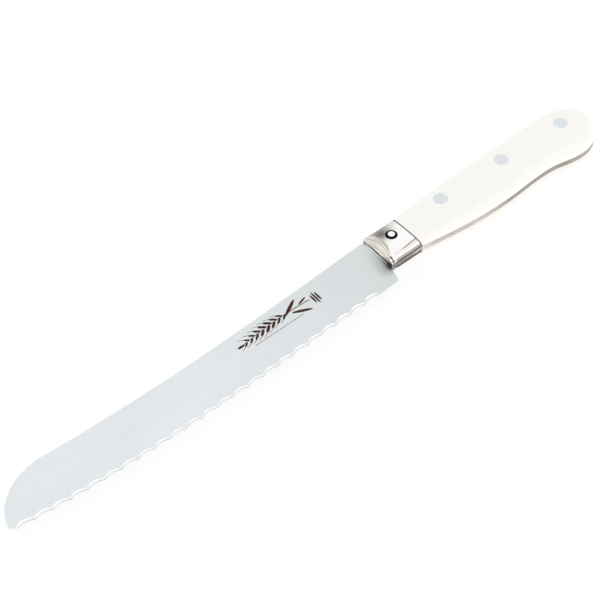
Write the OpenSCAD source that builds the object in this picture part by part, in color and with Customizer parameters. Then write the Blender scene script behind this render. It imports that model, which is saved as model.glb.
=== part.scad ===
// Bread knife: a serrated blade with a full tang, two bolster halves and two handle scales.
// The knife lies flat on its right side. X runs from the tip to the butt, the cutting edge
// faces -Y and +Z comes out of the left side. The origin is under the middle of the knife.

/* [Blade] */
// Length of the blade from its tip to the front of the bolster
blade_length = 200; // [120:1:280]
// Height of the spine above the lowest teeth, at the bolster
blade_width = 26.8; // [22:0.1:40]
// Thickness of the steel in the spine and the tang
steel_thickness = 2.5; // [1.6:0.1:3.5]
// Thickness of the blade just above the teeth
edge_thickness = 0.7; // [0.4:0.1:1.2]
// Height of the first tooth at the tip above the lowest teeth
tip_rise = 5.2; // [2:0.1:8]
// Height of the heel corner above the lowest teeth
heel_rise = 2.9; // [1:0.1:5]
// How far the spine dips below its straight line
spine_dip = 3.6; // [0:0.1:5]
// Length of the curve that brings the spine down to the tip
tip_curve_length = 29; // [20:1:45]
// Height of the rounded nose of the tip above the lowest teeth
nose_height = 7.7; // [6.5:0.1:11]

/* [Teeth] */
// Distance from one tooth point to the next
tooth_pitch = 8; // [5:0.5:12]
// Depth of each scallop between two tooth points
tooth_depth = 1.1; // [0.6:0.1:1.8]
// Slope of the ground face of the scallops, from the blade's face to upright
grind_angle = 48; // [25:1:50]
// Distance of the first tooth point behind the tip
first_tooth_inset = 2.7; // [1.5:0.1:5]
// Length of plain edge left at the heel, at the least
plain_edge = 12; // [4:1:40]

/* [Bolster] */
// Length of the bolster
bolster_length = 16.8; // [12:0.1:26]
// Height of the bolster from belly to spine
bolster_height = 17.6; // [14:0.1:24]
// Thickness of each bolster half over the tang
bolster_cheek = 2.9; // [2:0.1:5]
// Length of the ground slope at the front of the bolster
nose_slope_length = 4.7; // [2:0.1:8]
// Thickness left at the foot of that slope
nose_foot = 0.35; // [0.2:0.05:1]
// Radius of the scoop that grinds it
nose_scoop_radius = 23; // [15:1:60]
// Depth of the middle of the scoop below the spine
nose_scoop_drop = 6.6; // [4:0.1:12]
// Angle by which the joint with the handle leans towards the blade
joint_lean = 14; // [0:1:20]
// Diameter of the pin that holds the bolster halves
bolster_pin_d = 5; // [3:0.1:6]
// Distance of that pin from the front of the bolster
bolster_pin_x = 9.4; // [5:0.1:16]
// Distance of that pin below the spine
bolster_pin_drop = 6.8; // [5:0.1:12]
// Height of the pin's dome
pin_dome = 0.6; // [0.3:0.1:1]

/* [Handle] */
// Length of the handle from the bolster to the butt
handle_length = 103; // [80:1:140]
// Thickness of each scale over the tang where it is fullest, near the butt
scale_cheek = 5.4; // [4.5:0.1:8]
// How much the sides of the handle and bolster bulge between their edges
side_crown = 0.5; // [0:0.1:1]
// Drop of the grip's belly below the bolster
belly_swell = 4.2; // [2:0.1:6]
// Drop of the small crest behind the fingers below the bolster
belly_crest = 3; // [1:0.1:5]
// Drop of the hook at the butt below the bolster
butt_hook = 5.7; // [3:0.1:8]
// Rise of the handle's back above the bolster
back_rise = 1.6; // [0:0.1:3]
// Width of the rounding along the back of a scale
back_round = 3; // [1.5:0.1:4]
// Width of the softer rounding along its belly
belly_round = 4.2; // [2:0.1:5]

/* [Rivets] */
// Diameter of the rivet heads
rivet_head_d = 6.2; // [4:0.1:8]
// Length of each rivet head, sunk in the scale
rivet_head_length = 2.6; // [1.6:0.1:3.2]
// Diameter of the rivet tube
rivet_tube_d = 4; // [3:0.1:5]
// Diameter of the rivet shank that is driven into the tube
rivet_shank_d = 2.6; // [1.6:0.1:3.6]
// Distance of the front rivet behind the bolster
rivet_front_inset = 20.8; // [14:0.1:30]
// Distance of the rear rivet from the butt
rivet_rear_inset = 13.6; // [12:0.1:25]
// Depth of the front rivet below the spine line
rivet_drop_front = 6.3; // [5:0.1:10]
// Depth of the rear rivet below the spine line
rivet_drop_rear = 7.9; // [5:0.1:10]

/* [Clearances] */
// Gap all round a rivet or the bolster pin in the tang's holes
hole_clearance = 0.1; // [0.05:0.05:0.3]
// Gap between the end of a rivet's tube or shank and the head that faces it
rivet_end_gap = 0.3; // [0.1:0.1:0.6]

/* [Hidden] */
$fn = 64;

steel = "#c9ced1";
polished = "#b9b6b0";
ivory = "#f2ede0";
rivet_metal = "#c3c8cc";

half_steel = steel_thickness / 2;
spine_y = blade_width;
belly_y = spine_y - bolster_height;
joint_x = bolster_length;
butt_x = joint_x + handle_length;
// How far a cutting shape runs past what it cuts.
past = 3;

// Point on a cubic curve with the four controls a, b, c and d.
function cubic(a, b, c, d, t) =
    let (s = 1 - t) s * s * s * a + 3 * s * s * t * b + 3 * s * t * t * c + t * t * t * d;
// The points of that curve after its first one.
function curve(a, b, c, d, steps) = [for (i = [1:steps]) cubic(a, b, c, d, i / steps)];
function between(a, b, t) = a + (b - a) * t;
function smooth(v) = let (t = max(0, min(1, v))) t * t * (3 - 2 * t);

// Blade outline. Edge and spine are heights at a distance x, negative towards the tip.
function edge_y(x) = cubic(tip_rise, -3.2, 0.8, heel_rise, (x + blade_length) / blade_length);
tip_top = [tip_curve_length - blade_length, spine_y - 1.4];
function spine_at(x) =
    cubic(tip_top.y, spine_y - spine_dip - 1.6, spine_y - spine_dip + 1.1, spine_y,
          (x - tip_top.x) / -tip_top.x);
spine_steps = 16;
spine_points = [for (i = [0:spine_steps - 1]) let (x = tip_top.x * i / spine_steps) [x, spine_at(x)]];

first_tooth_x = first_tooth_inset - blade_length;
tooth_count = floor((blade_length - plain_edge - first_tooth_inset) / tooth_pitch);
edge_points = [for (i = [0:tooth_count])
    let (x = first_tooth_x + i * tooth_pitch) [x, edge_y(x)]];
plain_start = edge_points[tooth_count];
tip_corner = edge_points[0];
nose = [-blade_length, nose_height];
tip_points = curve(tip_top, [13.2 - blade_length, spine_y - 1.2],
                   [2 - blade_length, between(nose_height, spine_y, 0.42)], nose, 14);
nose_points = curve(nose, nose + [-0.05, -1.3], tip_corner + [-1.5, 0.35], tip_corner + [-0.1, 0.02], 6);
heel_x = -1.5;
heel_points = concat(
    [[heel_x - 1, heel_rise]],
    curve([heel_x - 1, heel_rise], [heel_x - 0.4, heel_rise], [heel_x, heel_rise + 0.4],
          [heel_x, heel_rise + 1], 4),
    [[heel_x * 0.4, belly_y], [0, belly_y]]);

// Handle outline, shared by the tang and both scales: two rails from the joint to the butt.
swell = [joint_x + 0.4 * handle_length, belly_y - belly_swell];
crest = [joint_x + 0.665 * handle_length, belly_y - belly_crest];
hook = [joint_x + 0.855 * handle_length, belly_y - butt_hook];
back_mid = [swell.x, spine_y + back_rise - 0.2];
back_end = [hook.x - 3, spine_y + back_rise + 0.1];
butt = [butt_x, (hook.y + back_end.y) / 2 + 1.3];
butt_steps = 11;
belly_rail = concat(
    [[joint_x, belly_y]],
    curve([joint_x, belly_y], [joint_x + 13, belly_y - 2.5], swell - [14, 0], swell, 10),
    curve(swell, swell + [11, 0], crest - [10, 0], crest, 6),
    curve(crest, crest + [8.5, 0], hook - [7, 0], hook, 7),
    curve(hook, hook + [9.4, 0], butt - [0, 8.4], butt, butt_steps));
back_rail = concat(
    [[joint_x, spine_y]],
    curve([joint_x, spine_y], [joint_x + 13, spine_y], back_mid - [12, 0], back_mid, 10),
    curve(back_mid, back_mid + [20, 0], back_end - [20, 0], back_end, 13),
    curve(back_end, back_end + [12, 0], butt + [0, 7], butt, butt_steps));
stations = len(belly_rail) - 1;
handle_outline = concat(belly_rail, [for (i = [stations - 1:-1:0]) back_rail[i]]);
blade_outline = concat(edge_points, heel_points, handle_outline, spine_points, [tip_top],
                       tip_points, nose_points);

// The sides of the bolster and scales. Their height over the tang follows the distance to
// the outline and the share v of the way from the belly to the back.
scale_belly = concat([[joint_x - past, belly_y]], belly_rail);
scale_back = concat([[joint_x - past, spine_y]], back_rail);
scale_edge = concat(scale_belly, [for (i = [stations:-1:0]) scale_back[i]]);
full_share = 0.7;
swell_power = 0.55;
butt_thinning = 0.4;
butt_thinning_length = 24;
belly_softness = 0.72;
back_softness = 0.5;
function fullness(x) = sin(90 * pow(max(0, min(1, (x - joint_x) / (full_share * handle_length))), swell_power));
function cheek_full(x) =
    between(bolster_cheek, scale_cheek, fullness(x))
    - butt_thinning * smooth((x - butt_x + butt_thinning_length) / butt_thinning_length);
function cheek_height(full, v, gap) =
    let (width = between(belly_round, back_round, v),
         drop = full * between(belly_softness, back_softness, v),
         inset = 1 - min(1, gap / width))
    full - drop + drop * sqrt(1 - inset * inset) + 4 * side_crown * v * (1 - v);
function to_segment(p, a, b) =
    let (along = b - a, t = max(0, min(1, (p - a) * along / (along * along)))) norm(p - a - t * along);
function to_edge(p) = min([for (i = [1:len(scale_edge) - 1]) to_segment(p, scale_edge[i - 1], scale_edge[i])]);
function side_z(p) =
    let (low = lookup(p.x, belly_rail), high = lookup(p.x, back_rail))
    half_steel + cheek_height(cheek_full(p.x), (p.y - low) / (high - low), to_edge(p));

// Shares v of the points across a section of the given height, close together at both edges.
round_steps = 6;
function ease(j) = 1 - cos(90 * j / round_steps);
function sections(height) =
    let (low = min(0.45, belly_round / height), high = min(0.45, back_round / height))
    concat([for (j = [0:round_steps]) low * ease(j)],
           [for (j = [1:3]) between(low, 1 - high, j / 4)],
           [for (j = [round_steps:-1:0]) 1 - high * ease(j)]);

// Fasteners.
bolster_pin_place = [bolster_pin_x, spine_y - bolster_pin_drop];
rivet_front = [joint_x + rivet_front_inset, spine_y - rivet_drop_front];
rivet_rear = [butt_x - rivet_rear_inset, spine_y - rivet_drop_rear];
rivet_middle = (rivet_front + rivet_rear) / 2;
rivets = [rivet_front, rivet_middle, rivet_rear];

// The knife's middle stands over the origin and its fullest side rests on the floor.
low_y = min([for (p = edge_points) p.y]);
high_y = max([for (p = back_rail) p.y]);
half_knife = half_steel + scale_cheek + side_crown;
middle = [(butt_x - blade_length) / 2, (low_y + high_y) / 2, -half_knife];

module lie_flat() {
    translate(-middle) children();
}

// Everything on one side of the slanted joint between bolster and handle: +1 behind, -1 before.
module beyond_joint(side) {
    reach = butt_x + past;
    translate([joint_x, -reach / 2, half_steel]) rotate([0, -joint_lean, 0])
        translate([side > 0 ? 0 : -reach, 0, -reach / 2]) cube(reach);
}

// The left face falls in one plane from the full thickness at the spine to the thin edge.
module left_grind() {
    over = 20;
    slope = (steel_thickness - edge_thickness) / spine_y;
    translate([-blade_length - past, 0, 0]) rotate([90, 0, 90])
        linear_extrude(blade_length + past)
            polygon([[spine_y, half_steel], [spine_y, half_steel + past], [-over, half_steel + past],
                     [-over, half_steel - slope * (spine_y + over)]]);
}

// One scallop, ground from the left so that its points are sharp on the right face.
module scallop(i) {
    rise = tooth_depth * sin(grind_angle);
    r = (tooth_pitch * tooth_pitch / 4 + rise * rise) / (2 * rise);
    ends = (edge_points[i] + edge_points[i + 1]) / 2;
    translate([ends.x, ends.y + tooth_depth, -half_steel]) rotate([grind_angle - 90, 0, 0])
        translate([0, -r, 0]) cylinder(r = r, h = 6 * steel_thickness, center = true);
}

// The straight bevel of the plain edge at the heel.
module plain_bevel() {
    heel = [0, heel_rise];
    along = heel - plain_start;
    reach = norm(along) + past;
    translate([plain_start.x, plain_start.y, -half_steel]) rotate([0, 0, atan2(along.y, along.x)])
        rotate([grind_angle - 90, 0, 0]) translate([0, -reach, -reach / 2]) cube([reach, reach, reach]);
}

module blade() {
    color(steel) lie_flat() difference() {
        translate([0, 0, -half_steel]) linear_extrude(steel_thickness) polygon(blade_outline);
        left_grind();
        for (i = [0:tooth_count - 1]) scallop(i);
        plain_bevel();
        translate(bolster_pin_place)
            cylinder(d = bolster_pin_d + 2 * hole_clearance, h = 2 * past, center = true);
        for (p = rivets) translate(p)
            cylinder(d = rivet_tube_d + 2 * hole_clearance, h = 2 * past, center = true);
    }
}

// The bolster's section, drawn with its height over the belly across and Z up.
module bolster_section() {
    side = [for (v = sections(bolster_height))
        let (gap = bolster_height * min(v, 1 - v))
        [between(belly_y, spine_y, v), half_steel + cheek_height(bolster_cheek, v, gap)]];
    polygon(concat([[belly_y, half_steel]], side, [[spine_y, half_steel]]));
}

// The scoop at the front of the bolster: its deepest line climbs from the foot to the full side.
module nose_scoop() {
    rise = bolster_cheek + side_crown - nose_foot;
    slope = atan2(rise, nose_slope_length);
    translate([0, spine_y - nose_scoop_drop, half_steel + nose_foot]) rotate([0, 90 - slope, 0])
        translate([-nose_scoop_radius, 0, 0])
            cylinder(r = nose_scoop_radius, h = 2 * nose_scoop_radius, center = true, $fn = 128);
}

module bolster_half() {
    difference() {
        rotate([90, 0, 90]) linear_extrude(bolster_length) bolster_section();
        nose_scoop();
        beyond_joint(1);
        translate(bolster_pin_place) cylinder(d = bolster_pin_d, h = 2 * half_knife);
    }
}

module bolster_left() {
    color(polished) lie_flat() bolster_half();
}

module bolster_right() {
    color(polished) lie_flat() mirror([0, 0, 1]) bolster_half();
}

module bolster_pin() {
    top = side_z(bolster_pin_place);
    r = (bolster_pin_d * bolster_pin_d / 4 + pin_dome * pin_dome) / (2 * pin_dome);
    color(steel) lie_flat() translate(bolster_pin_place) for (turn = [0, 180]) rotate([turn, 0, 0])
        intersection() {
            cylinder(d = bolster_pin_d, h = top + pin_dome);
            translate([0, 0, top + pin_dome - r]) sphere(r = r);
        }
}

// One scale before its holes: sections between the two rails, closed at both ends.
module scale_body() {
    rows = [for (i = [0:stations])
        let (low = scale_belly[i], high = scale_back[i])
        concat([[low.x, low.y, half_steel]],
               [for (v = sections(norm(high - low)))
                   let (p = between(low, high, v))
                   [p.x, p.y, half_steel + cheek_height(cheek_full(p.x), v, to_edge(p))]],
               [[high.x, high.y, half_steel]])];
    n = len(rows[0]);
    polyhedron(
        points = [for (row = rows) for (p = row) p],
        faces = concat(
            [[for (j = [0:n - 1]) j]],
            [[for (j = [n - 1:-1:0]) stations * n + j]],
            [for (i = [0:stations - 1]) for (j = [0:n - 1])
                let (a = i * n + j, b = i * n + (j + 1) % n) each [[a, a + n, b], [b, a + n, b + n]]]));
}

module scale_half() {
    difference() {
        scale_body();
        beyond_joint(-1);
        for (p = rivets) translate(p) {
            cylinder(d = rivet_tube_d, h = 2 * half_knife);
            translate([0, 0, side_z(p) - rivet_head_length]) cylinder(d = rivet_head_d, h = half_knife);
        }
    }
}

module scale_left() {
    color(ivory) lie_flat() scale_half();
}

module scale_right() {
    color(ivory) lie_flat() mirror([0, 0, 1]) scale_half();
}

// The half of a rivet with the tube. Its head is flush with the left scale.
module rivet_tube(p) {
    seat = side_z(p) - rivet_head_length;
    color(rivet_metal) lie_flat() translate(p) difference() {
        union() {
            translate([0, 0, seat]) cylinder(d = rivet_head_d, h = rivet_head_length);
            translate([0, 0, rivet_end_gap - seat])
                cylinder(d = rivet_tube_d, h = 2 * seat - rivet_end_gap + rivet_head_length / 2);
        }
        translate([0, 0, -seat]) cylinder(d = rivet_shank_d, h = 2 * seat);
    }
}

// The half of a rivet with the shank. Its head is flush with the right scale.
module rivet_shank(p) {
    seat = side_z(p) - rivet_head_length;
    color(rivet_metal) lie_flat() translate(p) {
        translate([0, 0, -seat - rivet_head_length]) cylinder(d = rivet_head_d, h = rivet_head_length);
        translate([0, 0, -seat - rivet_head_length / 2])
            cylinder(d = rivet_shank_d, h = 2 * seat - rivet_end_gap + rivet_head_length / 2);
    }
}

module rivet_front_tube() { rivet_tube(rivet_front); }
module rivet_middle_tube() { rivet_tube(rivet_middle); }
module rivet_rear_tube() { rivet_tube(rivet_rear); }
module rivet_front_shank() { rivet_shank(rivet_front); }
module rivet_middle_shank() { rivet_shank(rivet_middle); }
module rivet_rear_shank() { rivet_shank(rivet_rear); }

blade();
bolster_left();
bolster_right();
bolster_pin();
scale_left();
scale_right();
rivet_front_tube();
rivet_front_shank();
rivet_middle_tube();
rivet_middle_shank();
rivet_rear_tube();
rivet_rear_shank();
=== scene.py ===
import math

import bmesh
import bpy
import numpy as np
from mathutils import Matrix, Vector


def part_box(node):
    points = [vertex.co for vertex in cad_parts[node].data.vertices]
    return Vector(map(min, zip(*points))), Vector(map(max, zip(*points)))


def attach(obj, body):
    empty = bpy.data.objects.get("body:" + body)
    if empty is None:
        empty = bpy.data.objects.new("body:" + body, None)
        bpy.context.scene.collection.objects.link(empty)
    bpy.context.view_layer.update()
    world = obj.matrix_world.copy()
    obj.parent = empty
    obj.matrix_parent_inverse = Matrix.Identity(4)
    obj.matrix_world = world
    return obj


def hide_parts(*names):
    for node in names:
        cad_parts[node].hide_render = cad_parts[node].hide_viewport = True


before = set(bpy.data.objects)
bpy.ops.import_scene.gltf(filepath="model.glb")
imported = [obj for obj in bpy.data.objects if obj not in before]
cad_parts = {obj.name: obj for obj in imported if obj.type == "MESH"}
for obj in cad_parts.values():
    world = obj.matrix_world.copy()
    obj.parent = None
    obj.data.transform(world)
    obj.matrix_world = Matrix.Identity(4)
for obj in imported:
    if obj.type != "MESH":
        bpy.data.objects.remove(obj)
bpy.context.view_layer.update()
MM = 0.001

# ---------------------------------------------------------------- sizes, in millimetres
# X runs from the front of the bolster, negative towards the tip. Y rises from the lowest
# teeth to the spine, and Z is out of the left side, from the middle of the steel.
blade_length = 200.0
blade_width = 26.8
steel = 2.5
edge_thickness = 0.7
tip_rise = 5.2
heel_rise = 2.9
spine_dip = 3.6
tip_curve_length = 29.0
nose_height = 7.7
tooth_pitch = 8.0
tooth_depth = 1.1
grind_angle = math.radians(48)
first_tooth_inset = 2.7
plain_edge = 12.0
bolster_length = 16.8
bolster_height = 17.6
bolster_cheek = 2.9
nose_slope_length = 4.7
nose_foot = 0.35
nose_scoop_radius = 23.0
nose_scoop_drop = 6.6
joint_lean = math.radians(14)
pin_radius = 2.5
pin_dome = 0.6
handle_length = 103.0
scale_cheek = 5.4
side_crown = 0.5
belly_swell = 4.2
belly_crest = 3.0
butt_hook = 5.7
back_rise = 1.6
back_round = 3.0
belly_round = 4.2
rivet_radius = 3.1
rivet_head_length = 2.6
tang_rounding = 0.16
spine_rounding = 0.3
foot_fillet = 0.55
edge_pulls = (-3.2, 0.8)
heel_x = -1.5
heel_turn = 1.0
rim_lead = 12.0
lean_fade = 12.0
closing_width = 9.4
fullest_share = 0.7
butt_thinning = 0.4
butt_thinning_length = 24.0
belly_turn_share = 0.72
back_turn_share = 0.5
pin_shoulder = 0.34
rivet_stem_radius = 2.0
rivet_stem_length = 2.5
rivet_lift = 0.02
mark_thickness = 0.05
grain_step = 1.72
stem_middle = -58.0
stem_top = 18.6
stem_rise = 0.022
stem_bow = 0.0022
sprig_end = -39.5
sprig_share = 0.88

half = steel / 2
spine_y = blade_width
belly_y = spine_y - bolster_height
joint_x = bolster_length
butt_x = joint_x + handle_length
taper = (steel - edge_thickness) / blade_width

# The knife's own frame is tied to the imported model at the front, top and middle of the bolster.
bolster_low, bolster_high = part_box("bolster_left")
blade_low, blade_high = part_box("blade")
origin = Vector((bolster_low[0], bolster_high[1] - spine_y * MM, (blade_low[2] + blade_high[2]) / 2))


def placed(points):
    """Points in the knife's own frame, moved to the shared frame in metres."""
    return [origin + Vector(p) * MM for p in points]


# ---------------------------------------------------------------- outline
def cubic(a, b, c, d, steps):
    """A curve from a to d that b and c pull towards them without being on it."""
    t = np.linspace(0, 1, steps + 1)[:, None]
    a, b, c, d = (np.array(p, float) for p in (a, b, c, d))
    s = 1 - t
    return s**3 * a + 3 * s * s * t * b + 3 * s * t * t * c + t**3 * d


def chain(*curves):
    """Curves end to end, with each shared point kept once."""
    return np.vstack([curves[0]] + [c[1:] for c in curves[1:]])


def along(line, x):
    """Height of a line of points at x."""
    return np.interp(x, line[:, 0], line[:, 1])


# The handle's belly swells, narrows, and drops again at the hook. Its back is almost straight.
swell = np.array([joint_x + 0.4 * handle_length, belly_y - belly_swell])
crest = np.array([joint_x + 0.665 * handle_length, belly_y - belly_crest])
hook = np.array([joint_x + 0.855 * handle_length, belly_y - butt_hook])
back_mid = np.array([swell[0], spine_y + back_rise - 0.2])
back_end = np.array([hook[0] - 3, spine_y + back_rise + 0.1])
butt = np.array([butt_x, (hook[1] + back_end[1]) / 2 + 1.3])
belly_rail = chain(
    cubic((joint_x, belly_y), (joint_x + 13, belly_y - 2.5), swell - (14, 0), swell, 40),
    cubic(swell, swell + (11, 0), crest - (10, 0), crest, 24),
    cubic(crest, crest + (8.5, 0), hook - (7, 0), hook, 28),
    cubic(hook, hook + (9.4, 0), butt - (0, 8.4), butt, 60),
)
back_rail = chain(
    cubic((joint_x, spine_y), (joint_x + 13, spine_y), back_mid - (12, 0), back_mid, 40),
    cubic(back_mid, back_mid + (20, 0), back_end - (20, 0), back_end, 52),
    cubic(back_end, back_end + (12, 0), butt + (0, 7), butt, 60),
)
tip_top = np.array([tip_curve_length - blade_length, spine_y - 1.4])
nose = np.array([-blade_length, nose_height])
first_tooth_x = first_tooth_inset - blade_length
tooth_count = int((blade_length - plain_edge - first_tooth_inset) // tooth_pitch)


def edge_height(x):
    """Height of the toothed edge's points: a cubic from the tip's rise to the heel's."""
    t = (x + blade_length) / blade_length
    s = 1 - t
    pulled = 3 * s * s * t * edge_pulls[0] + 3 * s * t * t * edge_pulls[1]
    return s**3 * tip_rise + pulled + t**3 * heel_rise


def level_cubic(start, pulls, end, steps):
    """A cubic with its points at even steps of x, where only its heights are pulled."""
    heights = cubic((start[1],), (pulls[0],), (pulls[1],), (end[1],), steps)
    return np.column_stack([np.linspace(start[0], end[0], steps + 1), heights[:, 0]])


tip_corner = np.array([first_tooth_x, edge_height(first_tooth_x)])
dip = spine_y - spine_dip
spine_line = level_cubic(tip_top, (dip - 1.6, dip + 1.1), (0, spine_y), 60)
upper_line = chain(
    cubic(nose, (2 - blade_length, nose_height + 0.42 * (spine_y - nose_height)),
          (13.2 - blade_length, spine_y - 1.2), tip_top, 60),
    spine_line,
    np.array([[0, spine_y], [joint_x, spine_y]]),
    back_rail,
)
nose_line = cubic(nose, nose + (-0.05, -1.3), tip_corner + (-1.5, 0.35), tip_corner, 24)
nose_line[:, 0] = np.maximum.accumulate(nose_line[:, 0])
teeth_x = first_tooth_x + tooth_pitch * np.arange(tooth_count + 1)
teeth = np.column_stack([teeth_x, edge_height(teeth_x)])
heel_start = (heel_x - heel_turn, heel_rise)
heel_end = (heel_x, heel_rise + heel_turn)
heel_line = chain(
    np.array([teeth[-1], heel_start]),
    cubic(heel_start, (heel_x - 0.4, heel_rise), (heel_x, heel_rise + 0.4), heel_end, 8),
    np.array([heel_end, [heel_x * 0.4, belly_y], [0, belly_y], [joint_x, belly_y]]),
)
lower_line = chain(nose_line, teeth, heel_line, belly_rail)


def grind_line(x):
    """Height at which the ground face of the teeth meets the blade's right face."""
    if x >= teeth[-1][0]:
        return float(np.interp(x, [teeth[-1][0], 0], [teeth[-1][1], heel_rise]))
    i = int(np.clip((x - first_tooth_x) // tooth_pitch, 0, tooth_count - 1))
    share = (x - teeth[i][0]) / tooth_pitch
    rise = tooth_depth * math.sin(grind_angle)
    r = (tooth_pitch**2 / 4 + rise * rise) / (2 * rise)
    drop = r - math.sqrt(r * r - (tooth_pitch * (share - 0.5)) ** 2)
    line = teeth[i][1] + min(max(share, 0), 1) * (teeth[i + 1][1] - teeth[i][1])
    return line + tooth_depth - drop / math.sin(grind_angle)


# ---------------------------------------------------------------- sides of the handle
def smooth(v):
    """0 below 0, 1 above 1, and a soft step between."""
    t = np.clip(v, 0, 1)
    return t * t * (3 - 2 * t)


def cheek_full(x):
    """Height of a scale over the steel at x. It fills out behind the bolster and thins at the butt."""
    share = np.clip((x - joint_x) / (fullest_share * handle_length), 0, 1) ** 0.55
    full = bolster_cheek + (scale_cheek - bolster_cheek) * np.sin(share * math.pi / 2)
    thinning = smooth((x - butt_x + butt_thinning_length) / butt_thinning_length)
    return full - butt_thinning * thinning


def cheek_height(full, v, gap):
    """Height of a side over the steel, v of the way from belly to back and gap from the outline."""
    width = belly_round + (back_round - belly_round) * v
    drop = full * (belly_turn_share + (back_turn_share - belly_turn_share) * v)
    inset = 1 - np.minimum(1, gap / width)
    return full - drop + drop * np.sqrt(1 - inset * inset) + 4 * side_crown * v * (1 - v)


rim_front = joint_x - rim_lead
rim = np.vstack([[[rim_front, belly_y]], belly_rail, back_rail[::-1], [[rim_front, spine_y]]])


def to_rim(p):
    """Distance from points to the outline of the handle."""
    a, b = rim[:-1], rim[1:]
    step = b - a
    size = np.maximum((step * step).sum(1), 1e-12)
    t = np.clip(((p[:, None] - a) * step).sum(2) / size, 0, 1)
    return np.linalg.norm(p[:, None] - a - t[:, :, None] * step, axis=2).min(1)


def side_height(p):
    """Height of the handle's side over the middle of the steel, at points of the outline."""
    p = np.atleast_2d(np.array(p, float))
    low, high = along(belly_rail, p[:, 0]), along(back_rail, p[:, 0])
    return half + cheek_height(cheek_full(p[:, 0]), (p[:, 1] - low) / (high - low), to_rim(p))


def side_shares(height, rounding=12, middle=10):
    """Shares of the way across a section, close together where the side turns over."""
    low, high = min(0.45, belly_round / height), min(0.45, back_round / height)
    turn = 1 - np.cos(np.linspace(0, math.pi / 2, rounding + 1))
    return np.concatenate([low * turn, np.linspace(low, 1 - high, middle + 1)[1:-1], (1 - high * turn)[::-1]])


# ---------------------------------------------------------------- meshes
def piece(name, points, faces, materials, finish=None, sharp=25):
    """A closed mesh in the shared frame. finish gives each face's material."""
    mesh = bpy.data.meshes.new(name)
    mesh.from_pydata([tuple(p) for p in placed(points)], [], faces)
    for material in materials:
        mesh.materials.append(material)
    if finish is not None:
        mesh.polygons.foreach_set("material_index", finish)
    form = bmesh.new()
    form.from_mesh(mesh)
    bmesh.ops.remove_doubles(form, verts=form.verts, dist=2e-6)
    bmesh.ops.dissolve_degenerate(form, edges=form.edges, dist=1e-7)
    bmesh.ops.recalc_face_normals(form, faces=form.faces)
    form.to_mesh(mesh)
    form.free()
    mesh.shade_smooth()
    mesh.set_sharp_from_angle(angle=math.radians(sharp))
    thing = bpy.data.objects.new(name, mesh)
    bpy.context.collection.objects.link(thing)
    return thing


def loft(rows, close_start=True, close_end=True):
    """Faces between closed loops of equally many points, and over the first and last loop."""
    n = len(rows[0])
    points = [p for row in rows for p in row]
    faces, strip = [], []
    for i in range(len(rows) - 1):
        for j in range(n):
            k = (j + 1) % n
            faces.append((i * n + j, i * n + k, (i + 1) * n + k, (i + 1) * n + j))
            strip.append(j)
    if close_start:
        faces.append(tuple(range(n)))
        strip.append(-1)
    if close_end:
        faces.append(tuple((len(rows) - 1) * n + j for j in range(n)))
        strip.append(-1)
    return points, faces, strip


def arc(centre, r, start, stop, steps):
    """Points round a centre from one angle to another, in degrees."""
    return [(centre[0] + r * math.cos(a), centre[1] + r * math.sin(a))
            for a in np.linspace(math.radians(start), math.radians(stop), steps + 1)]


def closed_section(edge, face, high, r, right_end):
    """Adds the left face, the rounded spine and the right face to the points of a lower edge."""
    left = [(y, face(y)) for y in np.linspace(edge[-1][0], high - r, 9)[1:-1]]
    spine = arc((high - r, face(high) - r), r, 90, 0, 4) + arc((high - r, -half + r), r, 0, -90, 4)
    right = [(y, -half) for y in np.linspace(high - r, right_end, 7)[1:-1]]
    return edge + left + spine + right


def tang_section(low, high):
    """The tang's section as (y, z) points, with its four corners slightly turned."""
    r = tang_rounding
    edge = arc((low + r, -half + r), r, 270, 180, 4) + arc((low + r, half - r), r, 180, 90, 3)
    return closed_section(edge, lambda y: half, high, r, low + r)


def blade_section(x):
    """The section of the blade or the tang at x as (y, z) points."""
    low, high = float(along(lower_line, x)), float(along(upper_line, x))
    if x >= 0:
        return tang_section(low, high)
    into_fillet = max(0, (x + foot_fillet) / foot_fillet)
    lift = 1 - math.sqrt(max(0, 1 - into_fillet**2))

    def face(y):
        return (half - taper * (spine_y - y)) * (1 - lift) + half * lift

    ground = grind_line(x)
    low = max(low, ground)
    run = math.tan(grind_angle)
    top = (steel - taper * spine_y + ground * run) / (run - taper)
    bottom = min(-half + (low - ground) * run, face(low))
    top = max(top, low) if bottom < face(low) - 1e-6 else low
    edge = [(low, z) for z in np.linspace(-half, bottom, 5)]
    edge += list(zip(np.linspace(low, top, 5)[1:], np.linspace(bottom, face(top), 5)[1:]))
    return closed_section(edge, face, high, min(spine_rounding, (high - low) / 3), low)


def blade_columns():
    """Where the blade's sections are, close together at the tip, the heel, the foot and the butt."""
    turn = 1 - np.cos(np.linspace(0, math.pi / 2, 15))
    nose_x = -blade_length + 0.04 + (first_tooth_inset - 0.04) * turn
    teeth_at = np.linspace(teeth[0][0], teeth[-1][0], tooth_count * 16 + 1)
    plain = np.linspace(teeth[-1][0], heel_start[0], 7)
    heel = [-2.3, -2.1, -1.95, -1.8, -1.7, -1.6, -1.54, -1.51, -1.5, -1.4, -1.2, -1.0, -0.8, -0.6]
    foot = [-0.55, -0.45, -0.35, -0.25, -0.17, -0.1, -0.05, -0.02, -0.004]
    tang = np.linspace(0, hook[0], 70)
    end = hook[0] + (butt_x - 0.03 - hook[0]) * np.sin(np.linspace(0, math.pi / 2, 40))
    return np.concatenate([nose_x, teeth_at[1:], plain[1:], heel, foot, tang, end[1:]])


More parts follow.
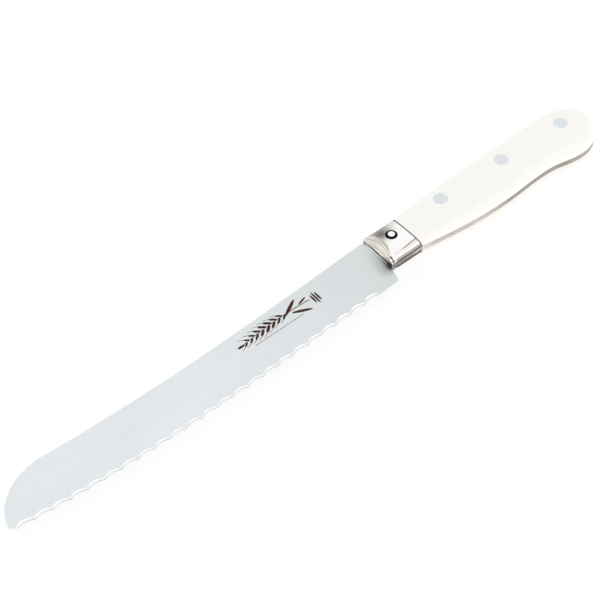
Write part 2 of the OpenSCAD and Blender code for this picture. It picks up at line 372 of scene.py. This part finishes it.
def build_blade(flank, ground, tang):
    """Blade and tang as one piece. Strips 4 to 7 of each section are the ground face of the edge."""
    rows = [[(x, y, z) for y, z in blade_section(x)] for x in blade_columns()]
    points, faces, strip = loft(rows)
    finish = []
    for face, j in zip(faces, strip):
        x = (points[face[0]][0] + points[face[2]][0]) / 2
        if x > 0:
            finish.append(2)
        elif 4 <= j < 8 and x < heel_start[0]:
            finish.append(1)
        else:
            finish.append(0)
    return piece("blade_steel", points, faces, [flank, ground, tang], finish, sharp=18)


def mirrored(points, side):
    """Points of the left side (1), or the same points mirrored to the right side (-1)."""
    return [(x, y, z * side) for x, y, z in points]


def build_bolster(name, side, metal, nose_metal):
    """One side of the bolster: the scooped slope of its nose, then its rounded side back to the joint."""
    slope_steps, side_steps = 10, 16
    slope = math.atan2(bolster_cheek + side_crown - nose_foot, nose_slope_length)
    v = side_shares(bolster_height, 16, 12)
    y = belly_y + v * bolster_height
    gap = bolster_height * np.minimum(v, 1 - v)
    top = half + cheek_height(bolster_cheek, v, gap)
    across = y - (spine_y - nose_scoop_drop)
    drop = nose_scoop_radius - np.sqrt(nose_scoop_radius**2 - across**2)
    foot = half + nose_foot + drop / math.cos(slope)
    ridge = np.maximum(0, (top - foot) / math.tan(slope))
    rear = joint_x - (top - half) * math.tan(joint_lean)
    loops = []
    for k in range(slope_steps + 1):
        x = ridge * k / slope_steps
        z = np.minimum(top, foot + x * math.tan(slope))
        loops.append([(0, belly_y, half)] + list(zip(x, y, z)) + [(0, spine_y, half)])
    for k in range(1, side_steps + 1):
        share = k / side_steps
        x = ridge + (rear - ridge) * share
        base = joint_x * share
        loops.append([(base, belly_y, half)] + list(zip(x, y, top)) + [(base, spine_y, half)])
    points, faces, strip = loft(loops)
    on_slope = slope_steps * len(loops[0])
    finish = [1 if k < on_slope else 0 for k in range(len(strip))]
    return piece(name, mirrored(points, side), faces, [metal, nose_metal], finish, sharp=14)


def stations(rail, shares):
    """Points at shares of the length of a line."""
    steps = np.concatenate([[0], np.cumsum(np.linalg.norm(np.diff(rail, axis=0), axis=1))])
    return np.column_stack([np.interp(shares * steps[-1], steps, rail[:, k]) for k in (0, 1)])


def build_scale(name, side, plastic):
    """One scale, in sections from belly to back that close up round the butt."""
    even = 0.9
    closing = even + (1 - even) * np.sin(np.linspace(0, math.pi / 2, 51))
    shares = np.concatenate([np.linspace(0, even, 100), closing[1:]])
    lows, highs = stations(belly_rail, shares), stations(back_rail, shares)
    loops = []
    for low, high in zip(lows, highs):
        width = np.linalg.norm(high - low)
        v = side_shares(max(width, closing_width), 14, 14)
        p = low + v[:, None] * (high - low)
        z = half + cheek_height(cheek_full(p[:, 0]), v, to_rim(p))
        fade = np.clip(1 - (p[:, 0] - joint_x) / lean_fade, 0, 1)
        x = p[:, 0] - (z - half) * math.tan(joint_lean) * fade
        loops.append([(low[0], low[1], half)] + list(zip(x, p[:, 1], z)) + [(high[0], high[1], half)])
    points, faces, _ = loft(loops, close_end=False)
    return piece(name, mirrored(points, side), faces, [plastic], sharp=30)


def build_pin(centre, top, metal):
    """The pin as one turned piece, with a rounded shoulder and a low dome at both ends."""
    crown = pin_radius - pin_shoulder
    profile = [(pin_radius, 0.0), (pin_radius, top - 0.1), (pin_radius - 0.05, top + 0.08)]
    for a in np.radians(np.linspace(15, 90, 7)):
        profile.append((crown + pin_shoulder * math.cos(a), top + 0.02 + pin_shoulder * math.sin(a) * 0.9))
    base = profile[-1][1]
    for k in range(1, 10):
        r = crown * (1 - k / 10)
        profile.append((r, base + (top + pin_dome - base) * (1 - (r / crown) ** 2)))
    profile.append((0.02, top + pin_dome))
    both_ends = [(r, -z) for r, z in reversed(profile)] + profile[1:]
    rows = [[(x, y, z) for x, y in arc(centre, r, 0, 360, 64)[:-1]] for r, z in both_ends]
    points, faces, _ = loft(rows)
    return piece("bolster_pin_dome", points, faces, [metal], sharp=40)


# ---------------------------------------------------------------- node trees
def operator(operation, first=False):
    """A method that adds one Math node. first puts the other number before the value."""
    return lambda self, other: self.math(operation, other, first=first)


class Value:
    """A socket that Python's arithmetic works on. Each operation adds a Math node."""

    def __init__(self, tree, socket):
        self.tree, self.socket = tree, socket

    def math(self, operation, *others, first=False):
        values = list(others) + [self] if first else [self] + list(others)
        return self.tree.node("ShaderNodeMath", {"operation": operation}, dict(enumerate(values)))

    __add__ = __radd__ = operator("ADD")
    __sub__ = operator("SUBTRACT")
    __rsub__ = operator("SUBTRACT", first=True)
    __mul__ = __rmul__ = operator("MULTIPLY")
    __truediv__ = operator("DIVIDE")
    __rtruediv__ = operator("DIVIDE", first=True)
    __pow__ = operator("POWER")

    def __abs__(self):
        return self.math("ABSOLUTE")

    def __neg__(self):
        return self.math("MULTIPLY", -1)

    def larger(self, other):
        return self.math("MAXIMUM", other)

    def smaller(self, other):
        return self.math("MINIMUM", other)

    def rise(self, low, high):
        """0 below low, 1 above high, and a soft step between. Turned round if low is above high."""
        if low > high:
            return 1 - self.rise(high, low)
        return self.tree.node("ShaderNodeMapRange", {"interpolation_type": "SMOOTHSTEP"},
                              {"Value": self, "From Min": low, "From Max": high})


def distance(a, b):
    """Length of the step that goes a one way and b across it."""
    return (a * a + b * b) ** 0.5


class Tree:
    """A node tree and the one method that adds a node to it."""

    def __init__(self, nodes):
        self.nodes = nodes

    def node(self, kind, settings=None, inputs=None, output=0):
        made = self.nodes.nodes.new(kind)
        for key, value in (settings or {}).items():
            if key == "stops":
                ramp = made.color_ramp.elements
                while len(ramp) < len(value):
                    ramp.new(0.5)
                for element, (position, colour) in zip(ramp, value):
                    element.position = position
                    element.color = (*colour, 1)
            else:
                setattr(made, key, value)
        for key, value in (inputs or {}).items():
            socket = made.inputs[key]
            if isinstance(value, Value):
                self.nodes.links.new(value.socket, socket)
            elif value is not None:
                socket.default_value = value
        return Value(self, made.outputs[output])

    def mix(self, share, a, b):
        """Colour a where share is 0 and colour b where it is 1."""
        a, b = ((*c, 1) if isinstance(c, tuple) else c for c in (a, b))
        return self.node("ShaderNodeMix", {"data_type": "RGBA"}, {0: share, 6: a, 7: b}, output=2)

    def stretched(self, place, scale):
        """A place scaled along each axis, so that a pattern on it is drawn out or packed."""
        return self.node("ShaderNodeVectorMath", {"operation": "MULTIPLY"}, {0: place, 1: scale})

    def noise(self, place, scale, detail=3.0, roughness=0.5):
        """A soft pattern between 0 and 1, with one patch for each unit of place times scale."""
        return self.node("ShaderNodeTexNoise", {}, {
            "Vector": place, "Scale": scale, "Detail": detail, "Roughness": roughness})


class Finish(Tree):
    """A material with a Principled shader. Constant values go on its own sockets."""

    def __init__(self, name, **constants):
        self.material = bpy.data.materials.new(name)
        self.material.use_nodes = True
        super().__init__(self.material.node_tree)
        self.shader = self.nodes.nodes["Principled BSDF"]
        for key, value in constants.items():
            self.shader.inputs[key.replace("_", " ")].default_value = value

    def place(self):
        """The place in the knife's own frame, in millimetres."""
        here = self.node("ShaderNodeTexCoord", output="Object")
        moved = self.node("ShaderNodeVectorMath", {"operation": "SUBTRACT"}, {0: here, 1: tuple(origin)})
        return self.node("ShaderNodeVectorMath", {"operation": "SCALE"}, {0: moved, "Scale": 1 / MM})

    def axes(self, place, names):
        """The parts of a place along the named axes."""
        apart = self.node("ShaderNodeSeparateXYZ", {}, {0: place}).socket.node
        return [Value(self, apart.outputs[name]) for name in names]

    def feed(self, **links):
        """Links values to the shader's sockets of the same names."""
        for key, value in links.items():
            self.nodes.links.new(value.socket, self.shader.inputs[key.replace("_", " ")])

    def bump(self, height, strength, depth):
        """The turn that a height gives to the surface, at most depth in metres."""
        return self.node("ShaderNodeBump", {}, {"Strength": strength, "Distance": depth, "Height": height})


def satin_steel():
    """Satin blade steel, with grind lines across its width."""
    f = Finish("satin_blade_steel", Metallic=1.0, IOR=2.5)
    mm = f.place()
    x, y, z = f.axes(mm, "XYZ")
    lines = f.noise(f.stretched(mm, (5.0, 0.16, 0.6)), 1.0, 4.0, 0.6)
    clouds = f.noise(f.stretched(mm, (0.02, 0.05, 0.05)), 1.0, 3.0)
    grain = f.noise(f.stretched(mm, (3.0, 2.0, 2.0)), 1.0, 2.0)
    tone = 0.5 + (lines - 0.5) * 0.7 + (clouds - 0.5) * 0.5 + (grain - 0.5) * 0.5
    colour = f.mix(tone, (0.67, 0.705, 0.725), (0.88, 0.91, 0.93))
    # Slightly greyer towards the heel.
    colour = f.mix(x.rise(-120, 10) * 0.5, colour, (0.60, 0.63, 0.63))
    # A painted reflection as a pale line where the blade meets the bolster, and painted shade round the foot
    # of that joint.
    colour = f.mix(x.rise(-0.62, -0.4) * 0.7, colour, (0.97, 0.94, 0.89))
    above_belly = y - belly_y - 0.6
    ahead = (-x / 5.5).larger(0)
    aside = abs(above_belly) / (above_belly.rise(-1, 1) * 6.5 + 3.4)
    reach = distance(ahead, aside)
    painted_foot_shade = reach.rise(0.3, 0.05) * 0.4 + reach.rise(0.65, 0.0) * 0.5 + reach.rise(1.6, 0.2) * 0.4
    painted_foot_shade = painted_foot_shade.smaller(0.97) * z.rise(-1.1, -0.9)
    colour = f.mix(painted_foot_shade, colour, (0.07, 0.07, 0.066))
    f.feed(Base_Color=colour, Roughness=0.33 + (lines - 0.5) * 0.16 + (clouds - 0.5) * 0.08,
           Normal=f.bump(lines, 0.12, 0.00004))
    return f.material


def ground_steel():
    """The fresh grind of the scallops, brighter than the blade, with marks down its slope."""
    f = Finish("ground_edge_steel", Metallic=1.0, IOR=2.5)
    mm = f.place()
    x, z = f.axes(mm, "XZ")
    marks = f.noise(f.stretched(mm, (7.0, 0.8, 0.8)), 1.0, 3.0, 0.6)
    patches = f.noise(f.stretched(mm, (0.5, 0.5, 0.5)), 1.0, 2.0)
    colour = f.mix(patches.rise(0.5, 0.75) * 0.3, (0.98, 0.985, 0.99), (0.74, 0.72, 0.78))
    # The burr is a thin grey line, and the plain edge behind the last tooth is grey all over.
    burr = z.rise(-half + 0.36, -half + 0.24)
    colour = f.mix(burr * 0.6, colour, (0.48, 0.51, 0.57))
    colour = f.mix(x.rise(-plain_edge - 2.0, -plain_edge - 1.2), colour, (0.66, 0.69, 0.70))
    f.feed(Base_Color=colour, Roughness=0.27 + (marks - 0.5) * 0.2, Normal=f.bump(marks, 0.1, 0.00003))
    return f.material


def tang_steel():
    """The edge of the tang, ground with the handle: duller and browner than the blade."""
    f = Finish("tang_edge_steel", Metallic=1.0, IOR=2.5)
    mm = f.place()
    x, z = f.axes(mm, "XZ")
    streaks = f.noise(f.stretched(mm, (0.35, 0.35, 3.0)), 1.0, 3.0, 0.6)
    stains = f.noise(f.stretched(mm, (0.06, 0.1, 0.1)), 1.0, 2.0)
    colour = f.mix(stains.rise(0.35, 0.65), (0.54, 0.50, 0.47), (0.74, 0.70, 0.67))
    # Darker from the middle of the handle back, mottled at the bolster, and dark at both seams.
    colour = f.mix(x.rise(40, 68) * (1 - 0.5 * x.rise(92, 112)) * 0.75, colour, (0.24, 0.21, 0.185))
    mottled = f.mix(streaks.rise(0.38, 0.62), (0.12, 0.10, 0.09), (0.38, 0.335, 0.305))
    colour = f.mix(x.rise(17.2, 16.6) * (1 - 0.45 * x.rise(9, 15)) * 0.92, colour, mottled)
    colour = f.mix(streaks.rise(0.5, 0.8) * 0.55, colour, (0.25, 0.20, 0.16))
    seam_and_shade = (abs(z) - half).rise(-0.32, -0.12)
    colour = f.mix(seam_and_shade * (0.55 + 0.4 * streaks.rise(0.4, 0.6)), colour, (0.12, 0.095, 0.08))
    f.feed(Base_Color=colour, Roughness=0.38 + (streaks - 0.5) * 0.25)
    return f.material


def polished_steel(centre, nose=False):
    """Mirror-polished bolster, hand-buffed, with painted dark reflections and painted shade on its side and
    in the corners. The slope at its nose is buffed in rings and painted with a browner reflection. centre is
    the middle of the pin."""
    f = Finish("buffed_nose_steel" if nose else "polished_bolster_steel", IOR=1.2)
    mm = f.place()
    x, y, z = f.axes(mm, "XYZ")
    wave = f.noise(f.stretched(mm, (0.12, 0.22, 0.22)), 1.0, 1.0)
    buff = f.noise(f.stretched(mm, (0.25, 5.0, 5.0)), 1.0, 3.0)
    height, over_belly, under_back = abs(z) - half, y - belly_y, y - spine_y
    if nose:
        ring = distance(x + 12.0, under_back + 7.5)
        swirl = f.noise(f.node("ShaderNodeCombineXYZ", {}, {0: ring * 1.5, 1: y * 0.09}), 1.0, 2.0)
        # The beige to brown tint is a painted reflection, laid on in the buffing rings.
        colour = f.mix(swirl.rise(0.44, 0.66) * 0.75, (0.83, 0.795, 0.735), (0.46, 0.37, 0.29))
    else:
        # Towards the spine the side is greyer: a painted dark reflection of the turn to the spine.
        spine_side_reflection = (under_back + 5.0 + 3.0 * (wave - 0.5)).rise(0.0, 4.0) * (1 - 0.35 * x.rise(8.0, 16.0))
        colour = f.mix(wave.rise(0.3, 0.7), (0.93, 0.925, 0.91), (0.985, 0.98, 0.975))
        colour = f.mix(spine_side_reflection * 0.75, colour, (0.50, 0.46, 0.43))
    # A painted dark reflection towards the back, strong on the side and faint on the slope.
    dark_reflection_patch = distance((x - 6.3) / 6.782, (under_back + 4.0) / 4.472)
    colour = f.mix(dark_reflection_patch.rise(1.3, 0.0) * (0.25 if nose else 0.9), colour, (0.13, 0.11, 0.10))
    # Two thin brown lines of painted reflection along the belly, and on the side a short bar of painted dark
    # reflection behind the slope.
    brown_reflection_line = abs(over_belly - 1.7 - 0.07 * x).rise(0.32, 0.14) * (0.25 + 0.75 * x.rise(6.0, 10.0))
    lower_reflection_line = abs(over_belly - 0.95 - 0.05 * x).rise(0.22, 0.1) * 0.35
    reflection_lines = brown_reflection_line.larger(lower_reflection_line) * height.rise(0.9, 1.2) * x.rise(2.6, 4.0)
    colour = f.mix(reflection_lines * 0.93, colour, (0.22, 0.12, 0.065))
    if not nose:
        dark_reflection_bar = x.rise(0.45, 0.7) * x.rise(1.7, 1.4) * over_belly.rise(2.6, 2.1) * height.rise(0.7, 1.0)
        colour = f.mix(dark_reflection_bar * 0.9, colour, (0.13, 0.06, 0.03))
    # Grey painted reflection low on the side, and a black band of painted dark reflection between it and the
    # tang.
    grey_reflection = (height.rise(1.95, 1.5) * 0.95).larger(over_belly.rise(1.35, 0.9) * 0.4)
    grey_reflection = grey_reflection * x.rise(1.4, 4.0) * (0.7 + 0.3 * buff.rise(0.4, 0.6)) * over_belly.rise(3.0, 2.0)
    colour = f.mix(grey_reflection, colour, (0.34, 0.285, 0.245))
    black_reflection = height.rise(0.85, 0.5) * over_belly.rise(2.6, 1.6) * (0.6 + 0.4 * x.rise(2.0, 4.0))
    colour = f.mix(black_reflection * 0.98, colour, (0.022, 0.016, 0.012))
    # Black seams at the scale and round the pin, and a black line of painted shade in the gap at the foot of
    # the blade.
    behind = x - joint_x + height * math.tan(joint_lean)
    seam_and_shade = behind.rise(-0.42, -0.22).larger(x.rise(0.34, 0.2) * height.rise(0.8, 0.5))
    away = distance(x - centre[0], y - centre[1])
    seam_and_shade = seam_and_shade.larger(away.rise(pin_radius + 0.22, pin_radius + 0.1))
    colour = f.mix(seam_and_shade * 0.92, colour, (0.03, 0.022, 0.018))
    f.feed(Base_Color=colour, Roughness=0.10 + (buff - 0.5) * 0.05 + black_reflection * 0.2 + seam_and_shade * 0.3,
           Metallic=1 - black_reflection.larger(seam_and_shade) * 0.95, Normal=f.bump(wave, 0.2, 0.0003))
    return f.material


def dome_steel(centre):
    """The pin's polished dome, with a black ring round its steep rim: painted shade and dark reflection where
    it meets the bolster.
    """
    f = Finish("bolster_pin_steel", Metallic=1.0, IOR=2.5)
    mm = f.place()
    x, y = f.axes(mm, "XY")
    away = distance(x - centre[0], y - centre[1])
    # Painted shade and dark reflection: the black ring over the dome's steep rim.
    seam_and_shade = away.rise(pin_radius - 1.12, pin_radius - 0.92)
    smudge = f.noise(f.stretched(mm, (0.9, 0.9, 0.9)), 1.0, 2.0).rise(0.6, 0.75)
    colour = f.mix(smudge * 0.6, (0.98, 0.98, 0.98), (0.45, 0.45, 0.46))
    f.feed(Base_Color=f.mix(seam_and_shade, colour, (0.006, 0.006, 0.01)), Roughness=0.08 + seam_and_shade * 0.4)
    return f.material


def ivory_plastic():
    """Semi-gloss ivory plastic, with the right scale painted creamier near the tang as painted shade."""
    f = Finish("ivory_scale_plastic", IOR=1.49, Coat_Weight=0.25, Coat_Roughness=0.12,
               Subsurface_Weight=0.08, Subsurface_Scale=0.002)
    mm = f.place()
    x, z = f.axes(mm, "XZ")
    mottle = f.noise(mm, 0.18, 3.0)
    fine = f.noise(mm, 2.4, 3.0)
    colour = f.mix(mottle, (0.962, 0.948, 0.912), (0.945, 0.93, 0.888))
    height = abs(z) - half
    # Painted shade: the right scale is creamier low down, near the tang.
    colour = f.mix(z.rise(0.5, -0.5) * height.rise(4.4, 2.0), colour, (0.90, 0.835, 0.77))
    # The front edge is dark where it meets the bolster.
    behind = x - joint_x + height * math.tan(joint_lean)
    colour = f.mix(behind.rise(0.32, 0.16) * 0.92, colour, (0.09, 0.06, 0.04))
    f.feed(Base_Color=colour, Roughness=0.30 + (fine - 0.5) * 0.12 + (mottle - 0.5) * 0.06,
           Normal=f.bump(fine, 0.04, 0.00004))
    return f.material


def rivet_metal():
    """Matte rivet metal, speckled by the belt it was ground flush with."""
    f = Finish("ground_rivet_metal", Metallic=1.0, IOR=1.44)
    mm = f.place()
    speckle = f.noise(mm, 2.6, 3.0, 0.7)
    belt = f.noise(f.stretched(mm, (0.5, 5.0, 0.5)), 1.0, 2.0)
    colour = f.mix(speckle.rise(0.35, 0.68), (0.67, 0.71, 0.745), (0.835, 0.865, 0.885))
    f.feed(Base_Color=colour, Roughness=0.42 + (belt - 0.5) * 0.2 + (speckle - 0.5) * 0.1,
           Normal=f.bump(belt, 0.1, 0.00003))
    return f.material


def etch_brown():
    """The burnt brown of a mark etched into the steel."""
    f = Finish("etched_mark_brown", Metallic=0.0, Specular_IOR_Level=0.12)
    burn = f.noise(f.place(), 1.6, 3.0)
    colour = f.mix(burn, (0.022, 0.008, 0.004), (0.10, 0.042, 0.018))
    f.feed(Base_Color=colour, Roughness=0.6 + (burn - 0.5) * 0.2)
    return f.material


# ---------------------------------------------------------------- what repeats
def spread(name, points, attributes, build, inputs, material):
    """Runs a Geometry Nodes tree on points in the shared frame and returns the plain mesh it makes.
    build(tree, group input) returns the instances, and Realize Instances and Set Material end the tree."""
    mesh = bpy.data.meshes.new(name)
    mesh.from_pydata([tuple(p) for p in points], [], [])
    for key, (kind, values) in attributes.items():
        layer = mesh.attributes.new(key, kind, "POINT")
        field = "vector" if kind == "FLOAT_VECTOR" else "value"
        layer.data.foreach_set(field, np.array(values, float).ravel())
    carrier = bpy.data.objects.new(name, mesh)
    bpy.context.collection.objects.link(carrier)
    group = bpy.data.node_groups.new(name, "GeometryNodeTree")
    group.interface.new_socket("Geometry", in_out="INPUT", socket_type="NodeSocketGeometry")
    group.interface.new_socket("Geometry", in_out="OUTPUT", socket_type="NodeSocketGeometry")
    for key in inputs:
        group.interface.new_socket(key, in_out="INPUT", socket_type="NodeSocketFloat")
    tree = Tree(group)
    start = tree.node("NodeGroupInput").socket.node
    given = {s.name: Value(tree, s) for s in start.outputs if s.name}
    made = tree.node("GeometryNodeRealizeInstances", {}, {0: build(tree, given)})
    made = tree.node("GeometryNodeSetMaterial", {}, {"Geometry": made, "Material": material})
    end = group.nodes.new("NodeGroupOutput")
    group.links.new(made.socket, end.inputs[0])
    modifier = carrier.modifiers.new(name, "NODES")
    modifier.node_group = group
    for item in group.interface.items_tree:
        if item.in_out == "INPUT" and item.name in inputs:
            modifier[item.identifier] = float(inputs[item.name])
    bpy.context.view_layer.update()
    ready = carrier.evaluated_get(bpy.context.evaluated_depsgraph_get())
    done = bpy.data.meshes.new_from_object(ready)
    bpy.data.objects.remove(carrier)
    thing = bpy.data.objects.new(name, done)
    bpy.context.collection.objects.link(thing)
    return thing


def attribute(tree, name, kind="FLOAT"):
    """The value that each point carries under a name."""
    return tree.node("GeometryNodeInputNamedAttribute", {"data_type": kind}, {"Name": name})


def rivet_tree(tree, given):
    """A flat head and a short shank, which starts just inside the head and ends in the scale."""
    depth, reach = given["Head depth"], given["Shank length"]
    head = tree.node("GeometryNodeMeshCylinder", {}, {
        "Vertices": 64, "Radius": given["Head radius"], "Depth": depth})
    sunk = tree.node("ShaderNodeCombineXYZ", {}, {2: depth * -0.5})
    head = tree.node("GeometryNodeTransform", {}, {"Geometry": head, "Translation": sunk})
    stem = tree.node("GeometryNodeMeshCylinder", {}, {
        "Vertices": 32, "Radius": given["Shank radius"], "Depth": reach})
    sunk = tree.node("ShaderNodeCombineXYZ", {}, {2: -0.98 * depth - reach * 0.5})
    stem = tree.node("GeometryNodeTransform", {}, {"Geometry": stem, "Translation": sunk})
    both = tree.node("GeometryNodeJoinGeometry", {}, {0: head})
    tree.nodes.links.new(stem.socket, both.socket.node.inputs[0])
    turned = tree.node("FunctionNodeAlignRotationToVector", {"axis": "Z"}, {
        "Vector": attribute(tree, "lean", "FLOAT_VECTOR")})
    return tree.node("GeometryNodeInstanceOnPoints", {}, {
        "Points": given["Geometry"], "Instance": both, "Rotation": turned})


def sprig_tree(tree, given):
    """Thin flat grains, each with its own turn, length and width."""
    grain = tree.node("GeometryNodeMeshUVSphere", {}, {"Segments": 20, "Rings": 6, "Radius": 0.5})
    turn = tree.node("ShaderNodeCombineXYZ", {}, {2: attribute(tree, "turn")})
    size = tree.node("ShaderNodeCombineXYZ", {}, {
        0: attribute(tree, "length"), 1: attribute(tree, "width"), 2: given["Thickness"]})
    return tree.node("GeometryNodeInstanceOnPoints", {}, {
        "Points": given["Geometry"], "Instance": grain, "Rotation": turn, "Scale": size})


def stem_height(x):
    """Height of the ear's stem, which bows over its middle."""
    return stem_top + stem_rise * (x - stem_middle) - stem_bow * (x - stem_middle) ** 2


def sprig_marks():
    """A wheat ear with its stem and leaves, a row of small seeds under it, and three grains set
    across the blade. Each mark is (x, y, turn in degrees, length, width)."""
    marks = []
    for k in range(15):
        x = -77.0 + grain_step * k
        y, side = stem_height(x), 1 if k % 2 else -1
        size = 1 - 0.35 * abs(k - 8) / 8
        grain = (x, y + side * 1.25 * size, 180 - side * 32, 3.9 * size, 1.35 * size)
        beard = (x - 2.2, y + side * 2.9 * size, 180 - side * 20, 4.6 * size, 0.24)
        marks += [grain, beard]
    marks.append((-79.6, stem_height(-79.6), 0, 3.6, 1.2))
    for k in range(24):
        x = -78.0 + grain_step * k
        slope = math.degrees(math.atan(stem_rise - 2 * stem_bow * (x - stem_middle)))
        marks.append((x, stem_height(x), slope, 2.2, 0.42))
    marks += [(-47.5, 20.0, 28, 9.5, 1.5), (-44.0, 15.6, -24, 9.0, 1.4), (-40.5, 19.6, 16, 5.0, 0.9)]
    for k in range(26):
        marks.append((-73.4 + 1.12 * k, 14.0, 55, 0.85, 0.36))
    drawn_in = [(sprig_end + (x - sprig_end) * sprig_share, *rest) for x, *rest in marks]
    across = [(-36.0 + 1.25 * k, 17.4, 90, 6.6 - 1.6 * abs(k - 1), 0.95) for k in range(3)]
    return drawn_in + across


def build_sprig(brown):
    """The etched mark, laid on the left face of the blade."""
    marks = sprig_marks()
    thing = spread("etched_wheat_ear", [(x * MM, y * MM, 0) for x, y, *_ in marks],
                   {"turn": ("FLOAT", [math.radians(m[2]) for m in marks]),
                    "length": ("FLOAT", [m[3] * MM for m in marks]),
                    "width": ("FLOAT", [m[4] * MM for m in marks])},
                   sprig_tree, {"Thickness": mark_thickness * MM}, brown)
    lean = Matrix.Rotation(math.atan(taper), 4, "X")
    down = Matrix.Translation(origin + Vector((0, 0, (half - taper * spine_y) * MM)))
    thing.data.transform(down @ lean)
    return thing


def build_rivets(metal):
    """Six heads in pairs, each leaning with the scale's side where it comes through."""
    step = 0.5
    places, leans = [], []
    for node in ("rivet_front_tube", "rivet_middle_tube", "rivet_rear_tube"):
        low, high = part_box(node)
        centre = (Vector(low) + Vector(high)) / 2 - origin
        x, y = centre.x / MM, centre.y / MM
        z, z_along, z_across = side_height([(x, y), (x + step, y), (x, y + step)])
        for side in (1, -1):
            places += placed([(x, y, side * (z + rivet_lift))])
            leans.append(((z - z_along) / step, (z - z_across) / step, side))
    return spread("rivets", places, {"lean": ("FLOAT_VECTOR", leans)}, rivet_tree,
                  {"Head radius": rivet_radius * MM, "Head depth": rivet_head_length * MM,
                   "Shank radius": rivet_stem_radius * MM, "Shank length": rivet_stem_length * MM}, metal)


# ---------------------------------------------------------------- the knife
pin_low, pin_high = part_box("bolster_pin")
pin_middle = (Vector(pin_low) + Vector(pin_high)) / 2 - origin
pin_centre = (pin_middle.x / MM, pin_middle.y / MM)
pin_top = (pin_high[2] - origin.z) / MM - pin_dome

flank, ground, tang = satin_steel(), ground_steel(), tang_steel()
metal, nose_metal = polished_steel(pin_centre), polished_steel(pin_centre, nose=True)
plastic = ivory_plastic()

blade = build_blade(flank, ground, tang)
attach(blade, "root")
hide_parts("blade")

for hand, side in (("left", 1), ("right", -1)):
    bolster = build_bolster(f"bolster_{hand}_shell", side, metal, nose_metal)
    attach(bolster, "root")
    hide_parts(f"bolster_{hand}")
    scale = build_scale(f"scale_{hand}_shell", side, plastic)
    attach(scale, "root")
    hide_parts(f"scale_{hand}")

pin = build_pin(pin_centre, pin_top, dome_steel(pin_centre))
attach(pin, "root")
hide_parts("bolster_pin")

rivets = build_rivets(rivet_metal())
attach(rivets, "root")
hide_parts(*(f"rivet_{w}_{k}" for w in ("front", "middle", "rear") for k in ("tube", "shank")))

sprig = build_sprig(etch_brown())
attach(sprig, "root")

# ---------------------------------------------------------------- floor, light and camera
reach = 3.0
corners = [(-reach, -reach, 0), (reach, -reach, 0), (reach, reach, 0), (-reach, reach, 0)]
floor_mesh = bpy.data.meshes.new("floor")
floor_mesh.from_pydata(corners, [], [(0, 1, 2, 3)])
floor = bpy.data.objects.new("floor", floor_mesh)
bpy.context.collection.objects.link(floor)
paper = Finish("white_paper", Roughness=0.9, Specular_IOR_Level=0.0, Emission_Strength=1.0)
seen = Value(paper, paper.node("ShaderNodeLightPath").socket.node.outputs["Is Camera Ray"])
paper.feed(Base_Color=paper.mix(seen, (0.9, 0.9, 0.9), (0.2, 0.2, 0.2)),
           Emission_Color=paper.mix(seen, (0.3, 0.3, 0.3), (0.82, 0.82, 0.82)))
floor_mesh.materials.append(paper.material)

world = bpy.data.worlds.new("studio")
bpy.context.scene.world = world
world.use_nodes = True
sky = Tree(world.node_tree)
background = world.node_tree.nodes["Background"]
path = sky.node("ShaderNodeLightPath").socket.node
camera_ray, glossy_ray = (Value(sky, path.outputs[k]) for k in ("Is Camera Ray", "Is Glossy Ray"))
way = sky.node("ShaderNodeTexCoord", output="Generated")
parts = sky.node("ShaderNodeSeparateXYZ", {}, {0: way}).socket.node
along_x, along_y, up = (Value(sky, parts.outputs[name]) for name in "XYZ")
# What polished metal sees: dark low down, and lighter upwards, to both sides and past the butt.
room = sky.node("ShaderNodeValToRGB", {"stops": [
    (0.0, (0.05, 0.042, 0.036)), (0.2, (0.10, 0.085, 0.075)), (0.4, (0.42, 0.37, 0.33)),
    (0.53, (0.78, 0.735, 0.69)), (0.64, (0.95, 0.945, 0.93)), (0.72, (1.0, 1.0, 1.0))]},
    {0: up + abs(along_y) * 0.35 + along_x.larger(0) * 0.35})
colour = sky.mix(glossy_ray, (0.975, 0.975, 0.975), room)
colour = sky.mix(camera_ray, colour, (1.0, 1.0, 1.0))
world.node_tree.links.new(colour.socket, background.inputs["Color"])

lamp = bpy.data.lights.new("soft_front", "AREA")
lamp.energy = 0.7
lamp.size = 0.5
front_light = bpy.data.objects.new("soft_front", lamp)
front_light.location = (0.70, -0.97, 1.06)
front_light.rotation_euler = (-front_light.location).to_track_quat("-Z", "Y").to_euler()
bpy.context.collection.objects.link(front_light)

lens = bpy.data.cameras.new("camera")
lens.lens = 174
lens.sensor_width = 36
lens.clip_start, lens.clip_end = 0.05, 20
camera = bpy.data.objects.new("camera", lens)
camera.location = (-0.51508, -0.58185, 0.89515)
looking = Vector((0.4353, 0.4973, -0.7505))
camera.rotation_euler = looking.to_track_quat("-Z", "Y").to_euler()
bpy.context.collection.objects.link(camera)
bpy.context.scene.camera = camera
bpy.context.scene.view_settings.view_transform = "Standard"
